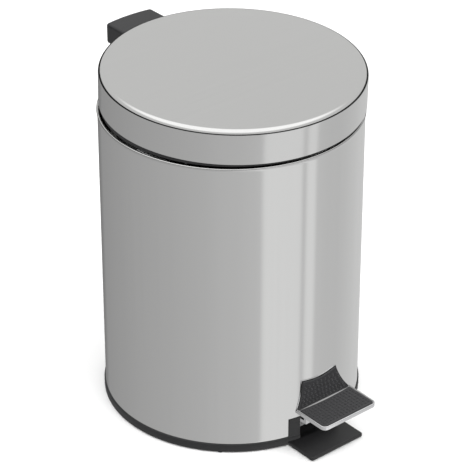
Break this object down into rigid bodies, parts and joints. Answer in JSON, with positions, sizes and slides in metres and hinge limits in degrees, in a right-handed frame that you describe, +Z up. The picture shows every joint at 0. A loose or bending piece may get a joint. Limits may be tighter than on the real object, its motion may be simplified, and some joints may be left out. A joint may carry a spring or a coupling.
{
  "type": "pedal trash can",
  "caption": "Round steel waste bin with a hinged lid opened by a foot pedal through a push rod, a removable inner bucket and a rear wire carry handle.",
  "frame": {"origin": "on the body's axis at floor level", "axes": "+Z up, -Y towards the foot pedal, +Y towards the lid hinge"},
  "size_m": [0.2072, 0.2725, 0.2879],
  "materials": {
    "body_steel": "fine vertical satin",
    "lid_steel": "smooth satin",
    "chrome": "bright plated",
    "wire": "drawn wire",
    "black_plastic": "moulded, slight sheen",
    "pad_rubber": "matt with raised dots",
    "bucket_plastic": "smooth moulded"
  },
  "bodies": {
    "housing": {"body_shell": "body_steel", "base": "black_plastic", "rubber_feet": "pad_rubber", "pedal_axle": "chrome", "axle_clips": "wire", "rod_guides": "black_plastic", "guide_rivets": "chrome", "hinge_bracket": "black_plastic", "bracket_screws": "chrome", "bracket_nuts": "chrome", "hinge_pin": "chrome", "pin_clips": "chrome", "inner_bucket": "bucket_plastic"},
    "pedal": {"pedal_lever": "wire", "pedal_tray": "chrome", "front_pad": "pad_rubber", "rear_pad": "pad_rubber", "tray_rivets": "chrome"},
    "rod": {"push_rod": "wire", "rod_cap": "black_plastic"},
    "lid": {"lid_shell": "lid_steel", "lid_liner": "black_plastic", "hinge_cover": "black_plastic", "cover_screws": "chrome", "lid_bumpers": "pad_rubber"},
    "carry": {"carry_handle": "wire"},
    "bucket_bail": {"bucket_handle": "wire"}
  },
  "joints": [
    {"name": "pedal_hinge", "type": "hinge", "parent": "housing", "child": "pedal", "pos_m": [0, -0.008, 0.011], "axis": [1, 0, 0], "range_deg": [0, 7.15]},
    {"name": "rod_slide", "type": "slide", "parent": "housing", "child": "rod", "axis": [0, 0, 1], "range_m": [0, 0.01305]},
    {"name": "lid_hinge", "type": "hinge", "parent": "housing", "child": "lid", "pos_m": [0, 0.107, 0.259], "axis": [-1, 0, 0], "range_deg": [0, 75]},
    {"name": "carry_hinge", "type": "hinge", "parent": "housing", "child": "carry", "pos_m": [0, 0.119, 0.248], "axis": [1, 0, 0], "range_deg": [0, 110]},
    {"name": "bucket_handle_hinge", "type": "hinge", "parent": "housing", "child": "bucket_bail", "pos_m": [0, 0, 0.23905], "axis": [-1, 0, 0], "range_deg": [0, 12]}
  ],
  "couplings": [
    {"joint": "rod_slide", "follows": "pedal_hinge", "m_per_rad": 0.10458},
    {"joint": "lid_hinge", "follows": "pedal_hinge", "ratio": 10.49}
  ]
}
